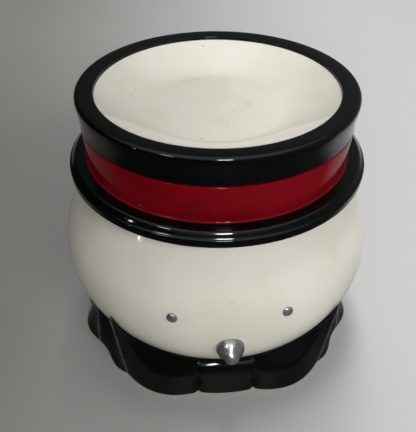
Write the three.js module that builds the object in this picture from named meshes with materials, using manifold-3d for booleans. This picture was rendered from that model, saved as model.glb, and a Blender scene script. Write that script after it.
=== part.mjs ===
// A glazed ceramic candle holder in the shape of a snowman's head. A tealight burns inside the hollow
// head, behind a doorway at the back, and warms a shallow dish that lifts off the top of the hat.
// Millimetres, +Z up. The origin is on the table, under the axis of the head. The face looks along -Y.

import * as THREE from "three";
import { mergeVertices } from "three/addons/utils/BufferGeometryUtils.js";
import Module from "manifold-3d";

const wasm = await Module();
wasm.setup();

// Fits
const SEAT_GAP = 0.3; // bedding between pieces that rest on, or are stuck to, each other
const SPIGOT_CLEARANCE = 0.6; // loose fit of the dish inside the hat

// Head: a hollow flattened ball, cut flat below and open above
const HEAD_RADIUS = 71;
const HEAD_HALF_HEIGHT = 54.4;
const BASE_FLAT_DEPTH = 1.8; // how much of the ball is cut away to stand on
const HEAD_WALL = 4.6;
const CANDLE_FLOOR_HEIGHT = 8; // table to the floor that the candle stands on

// Doorway for the candle, at the back, with a round arch
const DOOR_WIDTH = 52;
const DOOR_HEIGHT = 48; // candle floor to the top of the arch
const DOOR_REACH = 20; // where the cut starts, behind the axis

// Hat: brim and band
const HAT_SINK = 14.2; // how far the brim sits below the top of the whole ball
const BRIM_THICKNESS = 4.8;
const BRIM_REACH = 8.1; // from the foot of the band out to the edge
const BRIM_DROOP = 0.9; // how far the edge hangs below the rest of the underside
const BRIM_EDGE_HEIGHT = 3.6;
const BRIM_EDGE_ROUND = 0.8;
const BRIM_SHOULDER_WIDTH = 2.1; // from the edge in to the middle of the shoulder
const BRIM_SHOULDER_DROP = 0.9; // from the top of the brim down to the same place
const BRIM_TOP_MARGIN = 3; // from the edge in to the flat top
const BAND_HEIGHT = 16.2;
const BAND_FOOT_RADIUS = 55.9;
const BAND_FLARE = 1.3; // top radius less foot radius
const BAND_WALL = 4.6;
const BAND_FILLET = 0.9;

// Dish: a raised rim round a shallow bowl
const DISH_HEIGHT = 11.9;
const DISH_FLARE = 0.9; // how far the rim leans out over the band
const RIM_WIDTH = 7.8;
const RIM_ROUND = 1.7;
const RIM_DROP = 0.4; // how far the rim's top falls towards the bowl
const RIM_LIP = 1.3; // how far the rim then stands above the edge of the bowl
const RIM_WALL_LEAN = 0.15; // share of the flare that the wall has taken up at its middle
const BOWL_DEPTH = 10.8;
const BOWL_FLOOR_RADIUS = 28;
const BOWL_WALL = 4;
const SPIGOT_DEPTH = 4;
const SPIGOT_WIDTH = 6.2;
const SPIGOT_CHAMFER = 0.5;

// Collar: a pleated ruff that stands on the table and cups the head
const COLLAR_FIT = 0.6; // gap between the ruff and the head
const COLLAR_STAND = 6; // how far the wall stands outside the head, at the height of the side lobes
const COLLAR_FRONT_HEIGHT = 21.8;
const COLLAR_SIDE_HEIGHT = 24; // of the lobes beside the front one
const COLLAR_REAR_HEIGHT = 19; // of the lobes behind the first ridge
const FIRST_RIDGE_HEIGHT = 45.5;
const SECOND_RIDGE_HEIGHT = 28;
const REAR_RIDGE_HEIGHT = 21; // of the ridges behind the second
const COLLAR_LIP = 0.8; // thickness of the edge that lies against the head
const COLLAR_FRONT_DROP = 6; // from the edge down to the shoulder, on the front lobe
const COLLAR_LOBE_DROP = 9; // the same, on the other lobes
const COLLAR_RIDGE_DROP = 2; // the same, on a ridge
const COLLAR_FRONT_TURN = 0.75; // share of the drop where the front lobe turns in, to a flat top
const COLLAR_LOBE_TURN = 0.22; // the same, on the other lobes, which slope up to the head
const COLLAR_LEAN = 0.5; // how far the wall leans out between table and shoulder
const COLLAR_FOOT_ROUND = 1;
const COLLAR_BORE_HEIGHT = 6; // below this the inside of the ruff is a plain bore
const FRONT_LOBE_INSET = 4;
const FRONT_LOBE_FLARE = 0.8; // how far its shoulder leans out at the creases, which flattens it
const SIDE_LOBE_SWELL = 3.5;
const REAR_LOBE_SWELL = 3;
const PLEAT_WAVE = 1;
const PLEAT_DEPTH = 5;
const PLEAT_SKEW = 0.7; // under 1, the valley lies nearer the ridge in front of it
const CREASE_DEPTH = 1.3;
const CREASE_ANGLE = 11.8; // degrees from the front
const CREASE_SPREAD = 1.7;
const FIRST_RIDGE_ANGLE = 43.3;
const RIDGE_PITCH = 22;
const RIDGE_COUNT = 5; // on each side
const RIDGE_FRONT_SPREAD = 5.2; // degrees over which a ridge falls away towards the face
const RIDGE_REAR_SPREAD = 3.4; // the same, into the fold behind it

// Face: stands on the head's own surface
const NOSE_RADIUS = 5.8;
const NOSE_LENGTH = 8.2;
const NOSE_TIP_RADIUS = 3.2;
const NOSE_CHEEK_REACH = 3.6; // how far out the nose is still full
const NOSE_CHEEK_RADIUS = 5.1;
const NOSE_HEIGHT = 44.6;
const EYE_RADIUS = 2.3;
const EYE_PROUD = 1.5;
const EYE_HEIGHT = 59.8;
const EYE_ANGLE = 18.8; // degrees from the nose

// Tealight
const CUP_RADIUS = 19;
const CUP_HEIGHT = 14;
const CUP_WALL = 0.5;
const CUP_LIP = 0.5;
const WAX_BELOW_LIP = 2.5;
const WICK_RADIUS = 0.8;
const WICK_ABOVE_WAX = 8;
const SUSTAINER_RADIUS = 6;
const SUSTAINER_THICKNESS = 0.6;
const SUSTAINER_NECK_HEIGHT = 4;
const SUSTAINER_NECK_WALL = 0.6;

// Facets
const ROUND_SEGMENTS = 48;
const TEALIGHT_SEGMENTS = 32;
const SMALL_SEGMENTS = 24;
const HEAD_STEPS = 20;
const CHAMBER_STEPS = 14;
const BOWL_STEPS = 6;
const COLLAR_WALL_STEPS = 3;
const COLLAR_SHOULDER_STEPS = 5;
const COLLAR_CUP_STEPS = 7;
const COLLAR_TURN = 3.2; // degrees between sections, about

// Heights and radii that follow from the sizes above
const headCentre = HEAD_HALF_HEIGHT - BASE_FLAT_DEPTH;
const brimBottom = headCentre + HEAD_HALF_HEIGHT - HAT_SINK;
const headTop = brimBottom - SEAT_GAP;
const bandBottom = brimBottom + BRIM_THICKNESS;
const bandTop = bandBottom + BAND_HEIGHT;
const bandTopRadius = BAND_FOOT_RADIUS + BAND_FLARE;
const dishBottom = bandTop + SEAT_GAP;
const dishTop = dishBottom + DISH_HEIGHT;

function spheroidRadius(radius, halfHeight, height) {
  const rise = (height - headCentre) / halfHeight;
  return radius * Math.sqrt(Math.max(0, 1 - rise * rise));
}

// Radius of the head at a height, on its outer and its inner face.
function headRadiusAt(height) {
  return spheroidRadius(HEAD_RADIUS, HEAD_HALF_HEIGHT, height);
}

function chamberRadiusAt(height) {
  return spheroidRadius(HEAD_RADIUS - HEAD_WALL, HEAD_HALF_HEIGHT - HEAD_WALL, height);
}

// Points [radius, height] on a meridian of the head, evenly spaced by angle between two heights.
function meridian(radius, halfHeight, from, to, steps) {
  const start = Math.asin((from - headCentre) / halfHeight);
  const end = Math.asin((to - headCentre) / halfHeight);
  const points = [];
  for (let step = 0; step <= steps; step += 1) {
    const angle = start + ((end - start) * step) / steps;
    points.push([radius * Math.cos(angle), headCentre + halfHeight * Math.sin(angle)]);
  }
  return points;
}

// Points on a quarter round that turns from one direction to another about a centre.
function roundCorner(centre, radius, fromDegrees, toDegrees, steps) {
  const points = [];
  for (let step = 0; step <= steps; step += 1) {
    const angle = THREE.MathUtils.degToRad(fromDegrees + ((toDegrees - fromDegrees) * step) / steps);
    points.push([centre[0] + radius * Math.cos(angle), centre[1] + radius * Math.sin(angle)]);
  }
  return points;
}

function signedVolume(positions, index) {
  const a = new THREE.Vector3();
  const b = new THREE.Vector3();
  const c = new THREE.Vector3();
  let sum = 0;
  for (let corner = 0; corner < index.length; corner += 3) {
    a.fromArray(positions, 3 * index[corner]);
    b.fromArray(positions, 3 * index[corner + 1]);
    c.fromArray(positions, 3 * index[corner + 2]);
    sum += a.dot(b.cross(c));
  }
  return sum / 6;
}

// A closed mesh with shared vertices, no empty triangles and all faces pointing out.
function closed(geometry) {
  geometry.deleteAttribute("normal");
  geometry.deleteAttribute("uv");
  const merged = mergeVertices(geometry, 1e-4);
  const positions = merged.attributes.position.array;
  const index = [];
  for (let corner = 0; corner < merged.index.count; corner += 3) {
    const [a, b, c] = merged.index.array.slice(corner, corner + 3);
    if (a !== b && b !== c && c !== a) {
      index.push(a, b, c);
    }
  }
  if (signedVolume(positions, index) < 0) {
    index.reverse();
  }
  merged.setIndex(index);
  return merged;
}

// Turns a profile of [radius, height] points about the Z axis.
function revolve(profile, segments) {
  const points = profile.map(([radius, height]) => new THREE.Vector2(radius, height));
  const geometry = new THREE.LatheGeometry(points, segments);
  geometry.rotateX(Math.PI / 2);
  return closed(geometry);
}

function revolveRing(profile, segments) {
  return revolve([...profile, profile[0]], segments);
}

function solid(geometry) {
  const vertProperties = new Float32Array(geometry.attributes.position.array);
  const triVerts = new Uint32Array(geometry.index.array);
  return new wasm.Manifold(new wasm.Mesh({ numProp: 3, vertProperties, triVerts }));
}

function cut(geometry, tool) {
  const mesh = solid(geometry).subtract(solid(tool)).getMesh();
  const result = new THREE.BufferGeometry();
  result.setAttribute("position", new THREE.BufferAttribute(new Float32Array(mesh.vertProperties), 3));
  result.setIndex([...mesh.triVerts]);
  return result;
}

// The whole ball of the head, grown by a gap: what the face and the collar are shaped to.
function headBall(gap) {
  const ball = new THREE.SphereGeometry(1, 2 * ROUND_SEGMENTS, ROUND_SEGMENTS);
  ball.rotateX(Math.PI / 2);
  ball.scale(HEAD_RADIUS + gap, HEAD_RADIUS + gap, HEAD_HALF_HEIGHT + gap);
  ball.translate(0, 0, headCentre);
  return closed(ball);
}

// The arched block of space that the candle passes through, from inside the head out past the collar.
function doorway() {
  const half = DOOR_WIDTH / 2;
  const spring = CANDLE_FLOOR_HEIGHT + DOOR_HEIGHT - half;
  const outline = new THREE.Shape();
  outline.moveTo(-half, CANDLE_FLOOR_HEIGHT);
  outline.lineTo(half, CANDLE_FLOOR_HEIGHT);
  outline.lineTo(half, spring);
  outline.absarc(0, spring, half, 0, Math.PI, false);
  outline.closePath();
  const block = new THREE.ExtrudeGeometry(outline, {
    depth: 2 * HEAD_RADIUS,
    bevelEnabled: false,
    curveSegments: SMALL_SEGMENTS,
  });
  block.rotateX(Math.PI / 2);
  block.translate(0, DOOR_REACH + 2 * HEAD_RADIUS, 0);
  return closed(block);
}

function headShell() {
  const outer = meridian(HEAD_RADIUS, HEAD_HALF_HEIGHT, 0, headTop, HEAD_STEPS);
  const chamber = meridian(
    HEAD_RADIUS - HEAD_WALL,
    HEAD_HALF_HEIGHT - HEAD_WALL,
    headTop,
    CANDLE_FLOOR_HEIGHT,
    CHAMBER_STEPS,
  );
  const profile = [[0, 0], ...outer, ...chamber, [0, CANDLE_FLOOR_HEIGHT]];
  return cut(revolve(profile, ROUND_SEGMENTS), doorway());
}

function hatBrim() {
  const bore = chamberRadiusAt(headTop);
  const edge = BAND_FOOT_RADIUS + BRIM_REACH;
  const round = BRIM_EDGE_ROUND;
  const edgeBottom = brimBottom - BRIM_DROOP;
  const edgeTop = edgeBottom + BRIM_EDGE_HEIGHT;
  const profile = [
    [bore, brimBottom],
    [BAND_FOOT_RADIUS, brimBottom],
    ...roundCorner([edge - round, edgeBottom + round], round, -90, 0, 2),
    ...roundCorner([edge - round, edgeTop - round], round, 0, 60, 2),
    [edge - BRIM_SHOULDER_WIDTH, bandBottom - BRIM_SHOULDER_DROP],
    [edge - BRIM_TOP_MARGIN, bandBottom],
    [bore, bandBottom],
  ];
  return revolveRing(profile, ROUND_SEGMENTS);
}

function hatBand() {
  const foot = bandBottom + SEAT_GAP;
  const inside = bandTopRadius - BAND_WALL;
  const filletCentre = [BAND_FOOT_RADIUS + BAND_FILLET, foot + BAND_FILLET];
  const profile = [
    [inside, foot],
    ...roundCorner(filletCentre, BAND_FILLET, 270, 180, 3),
    [bandTopRadius, bandTop],
    [inside, bandTop],
  ];
  return revolveRing(profile, ROUND_SEGMENTS);
}

// The dish's opening, and the curve of the bowl from its flat floor up to the rim.
const rimRadius = bandTopRadius + DISH_FLARE;
const openingRadius = rimRadius - RIM_WIDTH;
const bowlTop = dishTop - RIM_DROP - RIM_LIP;
const bowlFloor = dishTop - BOWL_DEPTH;

function bowlHeightAt(radius) {
  const share = Math.max(0, radius - BOWL_FLOOR_RADIUS) / (openingRadius - BOWL_FLOOR_RADIUS);
  return bowlFloor + (bowlTop - bowlFloor) * share * share;
}

// Points along the bowl's curve between two radii, shifted in height.
function bowlCurve(from, to, shift, steps) {
  const points = [];
  for (let step = 0; step <= steps; step += 1) {
    const radius = from + ((to - from) * step) / steps;
    points.push([radius, bowlHeightAt(radius) + shift]);
  }
  return points;
}

function dishBowl() {
  const edge = openingRadius;
  const profile = [
    [0, bowlFloor - BOWL_WALL],
    ...bowlCurve(BOWL_FLOOR_RADIUS, edge, -BOWL_WALL, BOWL_STEPS),
    ...bowlCurve(edge, BOWL_FLOOR_RADIUS, 0, BOWL_STEPS),
    [0, bowlFloor],
  ];
  return revolve(profile, ROUND_SEGMENTS);
}

function dishRim() {
  const inner = openingRadius + SEAT_GAP;
  const spigotOuter = bandTopRadius - BAND_WALL - SPIGOT_CLEARANCE;
  const spigotInner = spigotOuter - SPIGOT_WIDTH;
  const spigotBottom = dishBottom - SPIGOT_DEPTH;
  const chamfer = SPIGOT_CHAMFER;
  const profile = [
    [bandTopRadius, dishBottom],
    [bandTopRadius + RIM_WALL_LEAN * DISH_FLARE, dishBottom + DISH_HEIGHT / 2],
    ...roundCorner([rimRadius - RIM_ROUND, dishTop - RIM_ROUND], RIM_ROUND, 0, 90, 4),
    [inner, dishTop - RIM_DROP],
    ...bowlCurve(inner, spigotInner, -BOWL_WALL - SEAT_GAP, 2),
    [spigotInner, spigotBottom],
    [spigotOuter - chamfer, spigotBottom],
    [spigotOuter, spigotBottom + chamfer],
    [spigotOuter, dishBottom],
  ];
  return revolveRing(profile, ROUND_SEGMENTS);
}

// Azimuths, in degrees from the front, where the collar turns: its front, creases and ridges.
const ridgeAngles = [];
for (let ridge = 0; ridge < RIDGE_COUNT; ridge += 1) {
  ridgeAngles.push(FIRST_RIDGE_ANGLE + ridge * RIDGE_PITCH);
}
const lastRidge = ridgeAngles[RIDGE_COUNT - 1];
const ridgeHeights = [FIRST_RIDGE_HEIGHT, SECOND_RIDGE_HEIGHT];
const collarRadius = headRadiusAt(COLLAR_SIDE_HEIGHT) + COLLAR_STAND;

// 1 on a ridge, falling away fast on both sides, so that the ridge is sharp.
function ridgeNearness(angle, ridge) {
  const spread = angle < ridge ? RIDGE_FRONT_SPREAD : RIDGE_REAR_SPREAD;
  return Math.exp(-Math.abs(angle - ridge) / spread);
}

function nearestRidge(angle) {
  return Math.max(...ridgeAngles.map((ridge) => ridgeNearness(angle, ridge)));
}

// 0 on the front lobe and 1 on the lobes beside and behind it.
function besideFront(angle) {
  return THREE.MathUtils.clamp((angle - CREASE_ANGLE) / CREASE_SPREAD, 0, 1);
}

// Height of the collar between its ridges: at the front, beside the creases, and behind the first ridge.
function lobeHeight(angle) {
  const behind = THREE.MathUtils.clamp((angle - FIRST_RIDGE_ANGLE) / RIDGE_PITCH, 0, 1);
  const front = THREE.MathUtils.lerp(COLLAR_FRONT_HEIGHT, COLLAR_SIDE_HEIGHT, besideFront(angle));
  return THREE.MathUtils.lerp(front, COLLAR_REAR_HEIGHT, behind);
}

// Height of the collar's edge. The ridges are lower from the face towards the back.
function collarTop(angle) {
  const lobe = lobeHeight(angle);
  let top = lobe;
  ridgeAngles.forEach((ridge, count) => {
    const height = ridgeHeights[count] ?? REAR_RIDGE_HEIGHT;
    top += (height - lobe) * ridgeNearness(angle, ridge);
  });
  return top;
}

function creaseNearness(angle) {
  const distance = (angle - CREASE_ANGLE) / CREASE_SPREAD;
  return Math.exp(-distance * distance);
}

// How far round the angle lies in the pleat behind the nearest ridge in front of it, from 0 to 1.
function pleatShare(angle) {
  return ((angle - FIRST_RIDGE_ANGLE) / RIDGE_PITCH) % 1;
}

// Radius of the collar's outline on the table.
function collarFootRadius(angle) {
  if (angle <= CREASE_ANGLE) {
    return collarRadius - FRONT_LOBE_INSET;
  }
  if (angle <= FIRST_RIDGE_ANGLE) {
    const share = (angle - CREASE_ANGLE) / (FIRST_RIDGE_ANGLE - CREASE_ANGLE);
    return collarRadius - FRONT_LOBE_INSET * (1 - share) + SIDE_LOBE_SWELL * Math.sin(Math.PI * share);
  }
  if (angle <= FIRST_RIDGE_ANGLE + RIDGE_PITCH) {
    return collarRadius + PLEAT_WAVE * Math.sin(2 * Math.PI * pleatShare(angle));
  }
  if (angle <= lastRidge) {
    return collarRadius + REAR_LOBE_SWELL * Math.sin(Math.PI * pleatShare(angle));
  }
  const share = (angle - lastRidge) / (180 - lastRidge);
  return collarRadius + REAR_LOBE_SWELL * Math.sin(Math.PI * Math.min(1, share));
}

// How far the front lobe's shoulder leans out further than the wall below it.
function frontFlare(angle) {
  const share = angle / CREASE_ANGLE;
  return FRONT_LOBE_FLARE * (share <= 1 ? share * share : creaseNearness(angle));
}

// How deep the wall is folded in behind a ridge.
function pleatValley(angle) {
  if (angle <= FIRST_RIDGE_ANGLE || angle >= lastRidge) {
    return 0;
  }
  return PLEAT_DEPTH * Math.sin(Math.PI * Math.pow(pleatShare(angle), PLEAT_SKEW));
}

// Radius of the inside of the collar, which follows the head.
function cupRadiusAt(height) {
  return headRadiusAt(height) + COLLAR_FIT;
}

// The collar's section at an azimuth: foot, wall, round shoulder, edge, and the cup that holds the head.
function collarSection(angle) {
  const ridge = nearestRidge(angle);
  const top = collarTop(angle);
  const beside = besideFront(angle);
  const lobeDrop = THREE.MathUtils.lerp(COLLAR_FRONT_DROP, COLLAR_LOBE_DROP, beside);
  const drop = THREE.MathUtils.lerp(lobeDrop, COLLAR_RIDGE_DROP, ridge);
  const shoulder = top - drop;
  const turn = shoulder + drop * THREE.MathUtils.lerp(COLLAR_FRONT_TURN, COLLAR_LOBE_TURN, beside);
  const foot = collarFootRadius(angle);
  const edgeRadius = cupRadiusAt(top) + COLLAR_LIP;
  const wallTop = foot + COLLAR_LEAN + frontFlare(angle) - pleatValley(angle);
  const shoulderRadius = THREE.MathUtils.lerp(wallTop, edgeRadius, ridge);
  const groove = CREASE_DEPTH * creaseNearness(angle);

  const points = [[foot - COLLAR_FOOT_ROUND - groove / 2, 0]];
  for (let step = 0; step < COLLAR_WALL_STEPS; step += 1) {
    const share = step / COLLAR_WALL_STEPS;
    const height = THREE.MathUtils.lerp(COLLAR_FOOT_ROUND, shoulder, share);
    const radius = THREE.MathUtils.lerp(foot, shoulderRadius, share);
    points.push([radius - (groove * (1 + Math.sin(Math.PI * share))) / 2, height]);
  }
  const shoulderCurve = new THREE.QuadraticBezierCurve(
    new THREE.Vector2(shoulderRadius - groove / 2, shoulder),
    new THREE.Vector2(shoulderRadius - groove / 2, turn),
    new THREE.Vector2(edgeRadius, top),
  );
  for (const point of shoulderCurve.getPoints(COLLAR_SHOULDER_STEPS)) {
    points.push([Math.max(point.x, cupRadiusAt(point.y) + COLLAR_LIP), point.y]);
  }
  for (let step = 0; step <= COLLAR_CUP_STEPS; step += 1) {
    const height = THREE.MathUtils.lerp(top, COLLAR_BORE_HEIGHT, step / COLLAR_CUP_STEPS);
    points.push([cupRadiusAt(height), height]);
  }
  points.push([cupRadiusAt(COLLAR_BORE_HEIGHT), 0]);
  return points;
}

// Azimuths of the sections on one side, closer together towards each crease and ridge.
function collarAngles() {
  const stations = [0, CREASE_ANGLE, ...ridgeAngles, 180];
  const angles = [];
  for (let span = 0; span + 1 < stations.length; span += 1) {
    const width = stations[span + 1] - stations[span];
    const steps = Math.round(width / COLLAR_TURN);
    for (let step = 0; step < steps; step += 1) {
      const share = (1 - Math.cos((Math.PI * step) / steps)) / 2;
      angles.push(stations[span] + width * share);
    }
  }
  angles.push(180);
  return angles;
}

// Lofts the sections right round, mirrored left to right, and cuts the doorway through the back.
function collar() {
  const right = collarAngles();
  const left = right.slice(1, -1).reverse();
  const turns = [...right, ...left.map((angle) => -angle)];
  const positions = [];
  for (const turn of turns) {
    const azimuth = THREE.MathUtils.degToRad(turn);
    for (const [radius, height] of collarSection(Math.abs(turn))) {
      positions.push(radius * Math.sin(azimuth), -radius * Math.cos(azimuth), height);
    }
  }
  const around = turns.length;
  const across = positions.length / 3 / around;
  const index = [];
  for (let turn = 0; turn < around; turn += 1) {
    for (let point = 0; point < across; point += 1) {
      const a = turn * across + point;
      const b = turn * across + ((point + 1) % across);
      const c = ((turn + 1) % around) * across + ((point + 1) % across);
      const d = ((turn + 1) % around) * across + point;
      index.push(a, b, c, a, c, d);
    }
  }
  const ruff = new THREE.BufferGeometry();
  ruff.setAttribute("position", new THREE.Float32BufferAttribute(positions, 3));
  ruff.setIndex(index);
  return cut(closed(ruff), doorway());
}

// A blunt cone, stuck on the front of the head, its back hollowed to the head's curve.
function nose() {
  const root = headRadiusAt(NOSE_HEIGHT);
  const tip = root + NOSE_LENGTH;
  const profile = [
    [0, root - NOSE_RADIUS],
    [NOSE_RADIUS, root - NOSE_RADIUS],
    [NOSE_RADIUS, root],
    [NOSE_CHEEK_RADIUS, root + NOSE_CHEEK_REACH],
    ...roundCorner([0, tip - NOSE_TIP_RADIUS], NOSE_TIP_RADIUS, 20, 90, 4),
  ];
  const cone = revolve(profile, SMALL_SEGMENTS);
  cone.rotateX(Math.PI / 2);
  cone.translate(0, 0, NOSE_HEIGHT);
  return cut(cone, headBall(SEAT_GAP));
}

// A domed bead on the head's surface. The side is -1 for the viewer's left and 1 for the right.
function eye(side) {
  const bead = new THREE.SphereGeometry(EYE_RADIUS, SMALL_SEGMENTS, SMALL_SEGMENTS / 2);
  bead.scale(1, EYE_PROUD / EYE_RADIUS, 1);
  bead.translate(0, -headRadiusAt(EYE_HEIGHT) - SEAT_GAP, EYE_HEIGHT);
  bead.rotateZ(side * THREE.MathUtils.degToRad(EYE_ANGLE));
  return cut(closed(bead), headBall(SEAT_GAP));
}

// Heights in the tealight, above the underside of its cup.
const waxBottom = CUP_WALL + SEAT_GAP;
const waxTop = CUP_HEIGHT - WAX_BELOW_LIP;
const sustainerBore = WICK_RADIUS + SEAT_GAP;
const neckRadius = sustainerBore + SUSTAINER_NECK_WALL;
const neckTop = waxBottom + SUSTAINER_THICKNESS + SUSTAINER_NECK_HEIGHT;

function tealightCup() {
  const inside = CUP_RADIUS - CUP_WALL;
  const profile = [
    [0, 0],
    [inside, 0],
    [CUP_RADIUS, CUP_WALL],
    [CUP_RADIUS, CUP_HEIGHT - CUP_LIP],
    [CUP_RADIUS + CUP_LIP, CUP_HEIGHT],
    [inside, CUP_HEIGHT],
    [inside, CUP_WALL],
    [0, CUP_WALL],
  ];
  return revolve(profile, TEALIGHT_SEGMENTS);
}

function tealightWax() {
  const outside = CUP_RADIUS - CUP_WALL - SEAT_GAP;
  const profile = [
    [SUSTAINER_RADIUS + SEAT_GAP, waxBottom],
    [outside, waxBottom],
    [outside, waxTop],
    [sustainerBore, waxTop],
    [sustainerBore, neckTop + SEAT_GAP],
    [neckRadius + SEAT_GAP, neckTop + SEAT_GAP],
    [neckRadius + SEAT_GAP, waxBottom + SUSTAINER_THICKNESS + SEAT_GAP],
    [SUSTAINER_RADIUS + SEAT_GAP, waxBottom + SUSTAINER_THICKNESS + SEAT_GAP],
  ];
  return revolveRing(profile, TEALIGHT_SEGMENTS);
}

function wickSustainer() {
  const profile = [
    [sustainerBore, waxBottom],
    [SUSTAINER_RADIUS, waxBottom],
    [SUSTAINER_RADIUS, waxBottom + SUSTAINER_THICKNESS],
    [neckRadius, waxBottom + SUSTAINER_THICKNESS],
    [neckRadius, neckTop],
    [sustainerBore, neckTop],
  ];
  return revolveRing(profile, SMALL_SEGMENTS);
}

function wick() {
  const length = waxTop + WICK_ABOVE_WAX - waxBottom;
  const cord = new THREE.CylinderGeometry(WICK_RADIUS, WICK_RADIUS, length, SMALL_SEGMENTS / 2);
  cord.rotateX(Math.PI / 2);
  cord.translate(0, 0, waxBottom + length / 2);
  return closed(cord);
}

function piece(name, geometry, color, roughness, metalness = 0) {
  const material = new THREE.MeshStandardMaterial({ color, roughness, metalness });
  const mesh = new THREE.Mesh(geometry, material);
  mesh.name = name;
  return mesh;
}

const WHITE_GLAZE = 0xe9e7e1;
const BLACK_GLAZE = 0x0c0c0e;
const RED_GLAZE = 0x800f19;
const SILVER_PAINT = 0x9a9a9c;

const holder = new THREE.Group();
holder.add(
  piece("head_shell", headShell(), WHITE_GLAZE, 0.15),
  piece("collar", collar(), BLACK_GLAZE, 0.12),
  piece("hat_brim", hatBrim(), BLACK_GLAZE, 0.12),
  piece("hat_band", hatBand(), RED_GLAZE, 0.15),
  piece("nose", nose(), SILVER_PAINT, 0.35, 0.3),
  piece("eye_left", eye(-1), SILVER_PAINT, 0.35, 0.3),
  piece("eye_right", eye(1), SILVER_PAINT, 0.35, 0.3),
);

const dish = new THREE.Group();
dish.add(
  piece("dish_rim", dishRim(), BLACK_GLAZE, 0.12),
  piece("dish_bowl", dishBowl(), WHITE_GLAZE, 0.15),
);

const tealight = new THREE.Group();
tealight.position.set(0, 0, CANDLE_FLOOR_HEIGHT + SEAT_GAP);
tealight.add(
  piece("tealight_cup", tealightCup(), 0xc9cbcc, 0.3, 1),
  piece("tealight_wax", tealightWax(), 0xf3efe4, 0.5),
  piece("wick_sustainer", wickSustainer(), 0xb9bbbc, 0.4, 1),
  piece("wick", wick(), 0xd9d0bb, 0.9),
);

const snowman = new THREE.Group();
snowman.add(holder, dish, tealight);

export default snowman;
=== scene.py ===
"""A glazed ceramic candle holder in the shape of a snowman's head, dressed over its solid parts.

Lengths are in metres. The face looks along -Y, +Z is up, and the holder stands on the floor at zero.
"""

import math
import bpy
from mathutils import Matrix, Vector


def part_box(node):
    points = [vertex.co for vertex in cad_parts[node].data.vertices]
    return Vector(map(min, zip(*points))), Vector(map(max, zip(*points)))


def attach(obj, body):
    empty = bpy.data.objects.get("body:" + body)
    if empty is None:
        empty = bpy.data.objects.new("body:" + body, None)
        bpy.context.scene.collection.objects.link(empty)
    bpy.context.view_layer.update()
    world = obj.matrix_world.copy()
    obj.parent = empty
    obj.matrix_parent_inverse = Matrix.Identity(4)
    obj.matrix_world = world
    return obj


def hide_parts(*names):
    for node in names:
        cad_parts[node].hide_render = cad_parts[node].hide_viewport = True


bl_info = {
    "name": "Snowman Candle Holder",
    "version": (1, 0, 0),
    "blender": (4, 5, 0),
    "location": "View3D > Sidebar > Snowman",
    "description": "Throws, glazes and lights a snowman-head candle holder with a lift-off dish",
    "category": "Add Mesh",
}

from collections import namedtuple

import bmesh
import bpy
from bpy.props import FloatProperty, FloatVectorProperty, IntProperty, PointerProperty
from mathutils import Vector
from mathutils.geometry import interpolate_bezier

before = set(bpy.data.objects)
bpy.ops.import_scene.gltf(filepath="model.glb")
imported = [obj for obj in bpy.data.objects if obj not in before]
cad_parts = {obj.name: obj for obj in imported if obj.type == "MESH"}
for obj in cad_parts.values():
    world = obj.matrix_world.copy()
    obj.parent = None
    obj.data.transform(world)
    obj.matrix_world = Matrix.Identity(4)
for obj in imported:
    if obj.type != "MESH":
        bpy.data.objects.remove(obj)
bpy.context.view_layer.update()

# How finely the pieces are drawn
WHEEL_STEPS = 160
SMALL_WHEEL_STEPS = 48
WALL_STEPS = 9
SHOULDER_STEPS = 9
CUP_STEPS = 9
LEAST_SECTIONS = 8
SECTION_TURN = math.radians(0.9)
SMOOTH_ANGLE = math.radians(38)
SOFT_ANGLE = math.radians(60)
MERGE_DISTANCE = 1e-6
SEED_SIZE = 0.002

# How the curves run
EVEN_PULL = 2 / 3
BOWL_CURVE = 1.5
PLEAT_SKEW = 0.7

# Gaps that keep neighbours apart
FIT_GAP = 0.0001
SEAT_GAP = 0.0003

# Where the black glaze is painted paler along the ridges: partly thin glaze, partly a painted highlight
RIDGE_GLAZE_AND_SHEEN = "ridge_glaze_and_sheen"
RIDGE_SHEEN_WIDTH = math.radians(0.4)

# Kinds of socket in the shader groups, and the places of a colour mix's own
NUMBER = "NodeSocketFloat"
VECTOR = "NodeSocketVector"
COLOUR = "NodeSocketColor"
MIX_UNDER, MIX_UPPER, MIX_RESULT = 6, 7, 2

Extent = namedtuple("Extent", "bottom top radius")


def extent(node):
    """Heights and radius that a solid part already has."""
    low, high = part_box(node)
    return Extent(low.z, high.z, high.x)


HEAD = extent("head_shell")
BRIM = extent("hat_brim")
BAND = extent("hat_band")
RIM = extent("dish_rim")
CUP = extent("tealight_cup")
WAX = extent("tealight_wax")
PLATE = extent("wick_sustainer")
WICK = extent("wick")


# Sizes and colours that a user may change


def length(name, description, default):
    """A size that shows in the sidebar in the scene's own units."""
    return FloatProperty(name=name, description=description, default=default, unit="LENGTH", precision=5)


def degrees(name, description, default):
    """A direction round the axis, kept in radians and shown in degrees."""
    return FloatProperty(name=name, description=description, default=math.radians(default), subtype="ANGLE")


def fraction(name, description, default):
    """A part of something else, from none to all of it."""
    return FloatProperty(name=name, description=description, default=default, min=0, max=1, subtype="FACTOR")


def colour(name, description, default):
    """The colour of a glaze, a paint or another finish."""
    return FloatVectorProperty(
        name=name, description=description, default=default, subtype="COLOR", size=3, min=0, max=1
    )


class HeadSizes(bpy.types.PropertyGroup):
    """The hollow ball and the doorway behind it."""

    radius: length("Radius", "Half the width of the ball", 0.07095)
    half_height: length("Half height", "Half the height of the whole ball", 0.0544)
    centre: length("Centre", "Height of the ball's centre", 0.0526)
    wall: length("Wall", "Thickness of the shell", 0.0046)
    floor: length("Floor", "Height of the floor under the candle", 0.008)
    door_width: length("Door width", "Width of the doorway", 0.052)
    door_height: length("Door height", "Floor to the top of the arch", 0.048)
    door_start: length("Door start", "Where the doorway begins, behind the axis", 0.02)


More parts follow.
